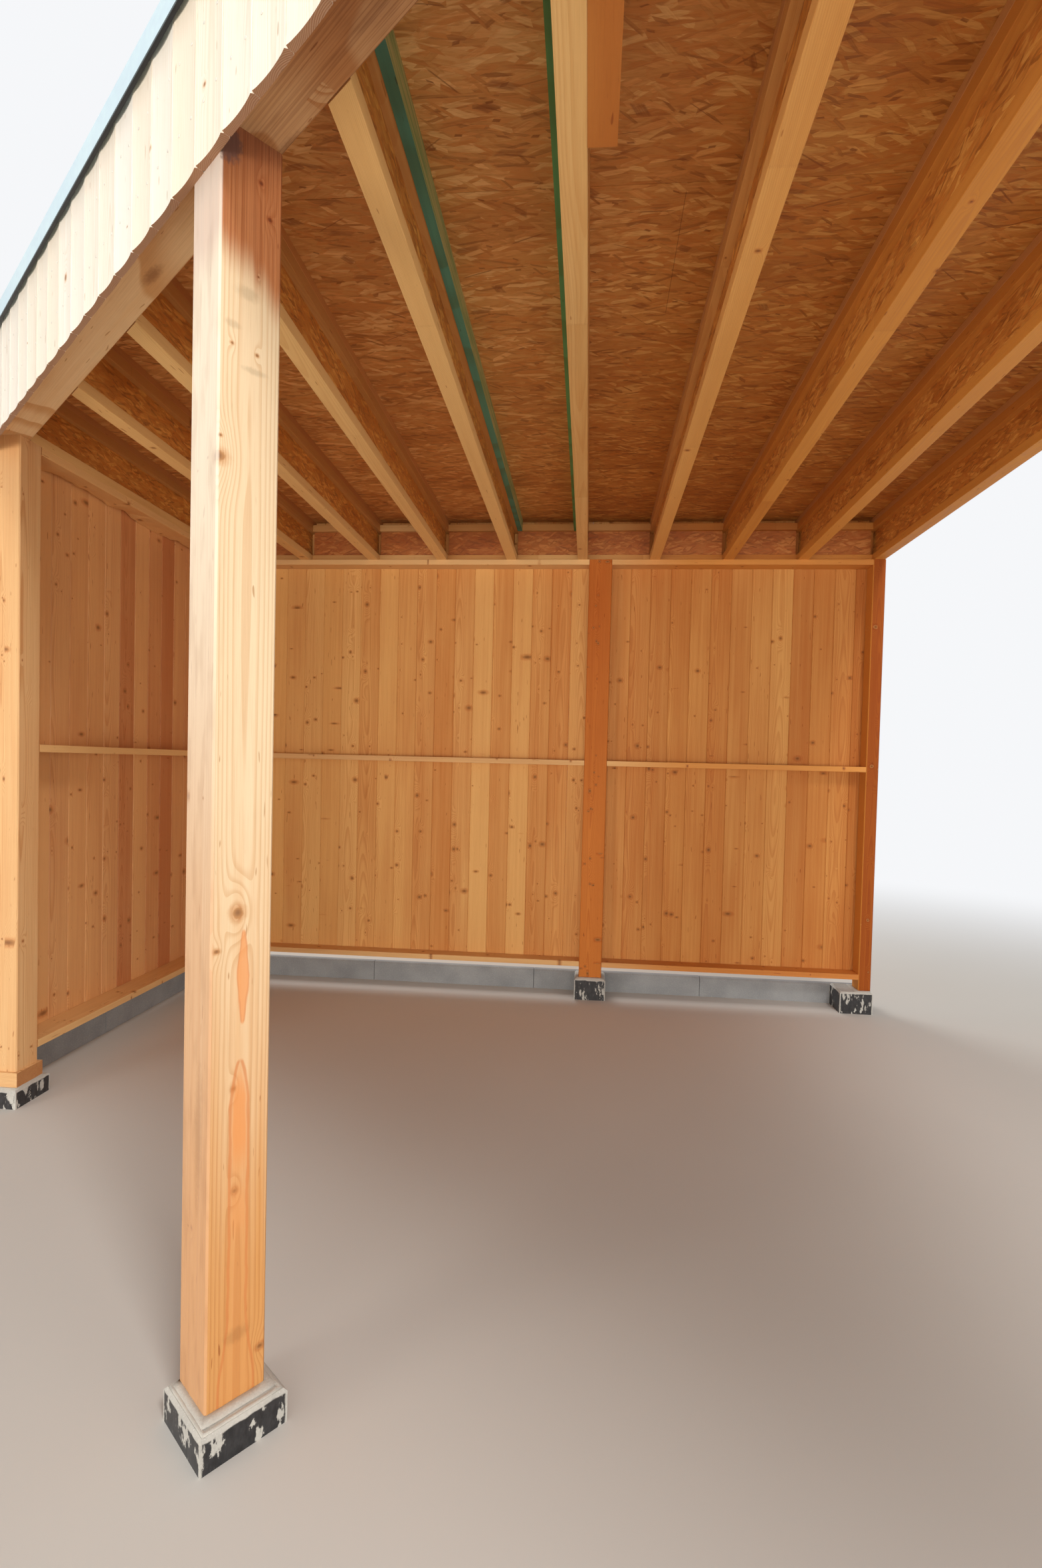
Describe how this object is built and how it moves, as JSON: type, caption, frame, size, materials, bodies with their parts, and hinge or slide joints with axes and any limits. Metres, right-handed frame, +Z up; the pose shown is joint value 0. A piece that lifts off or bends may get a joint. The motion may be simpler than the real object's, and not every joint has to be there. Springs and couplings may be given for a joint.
{
  "type": "carport",
  "caption": "Timber carport with a slanting front: posts on concrete piers, upright boards at the rear and left, and a flat boarded roof on I-joists.",
  "frame": {"origin": "bottom centre of the bounding box, at the underside of the piers", "axes": "+X to the right along the rear wall seen from the front, +Y from the slanting front to the rear wall, +Z up"},
  "size_m": [4.016, 5.1292, 2.909],
  "materials": {
    "douglas": "satin",
    "spruce": "matte",
    "flange_timber": "matte",
    "strand_board": "matte",
    "wall_boards": "satin",
    "fascia_boards": "matte",
    "green_timber": "matte",
    "sole_timber": "matte",
    "concrete": "rough",
    "bitumen": "satin",
    "mortar": "rough",
    "membrane": "matte",
    "trim_metal": "satin",
    "fixings": "satin"
  },
  "bodies": {
    "root": {"edge_battens": "spruce", "firring_strips": "spruce", "front_beam": "douglas", "front_fascia": "fascia_boards", "front_pier": "concrete", "front_post": "douglas", "green_batten_left": "green_timber", "green_batten_right": "green_timber", "joist_0": "flange_timber", "joist_1": "flange_timber", "joist_2": "flange_timber", "joist_3": "flange_timber", "joist_4": "flange_timber", "joist_5": "flange_timber", "joist_6": "flange_timber", "joist_7": "flange_timber", "joist_8": "flange_timber", "joist_9": "flange_timber", "left_boards": "wall_boards", "left_bottom_rail": "spruce", "left_corner_post": "douglas", "left_front_pier": "concrete", "left_kerb": "concrete", "left_middle_rail": "spruce", "left_top_rail": "spruce", "rear_blocking": "flange_timber", "rear_boards": "wall_boards", "rear_bottom_rails": "spruce", "rear_kerb": "concrete", "rear_left_pier": "concrete", "rear_left_post": "douglas", "rear_mid_pier": "concrete", "rear_mid_post": "douglas", "rear_middle_rails": "spruce", "rear_right_pier": "concrete", "rear_right_post": "douglas", "rear_top_rails": "spruce", "right_front_pier": "concrete", "right_front_post": "douglas", "roof_deck": "strand_board", "roof_membrane": "membrane", "roof_trim": "trim_metal", "side_timber": "douglas", "sole_block": "sole_timber"}
  },
  "joints": []
}
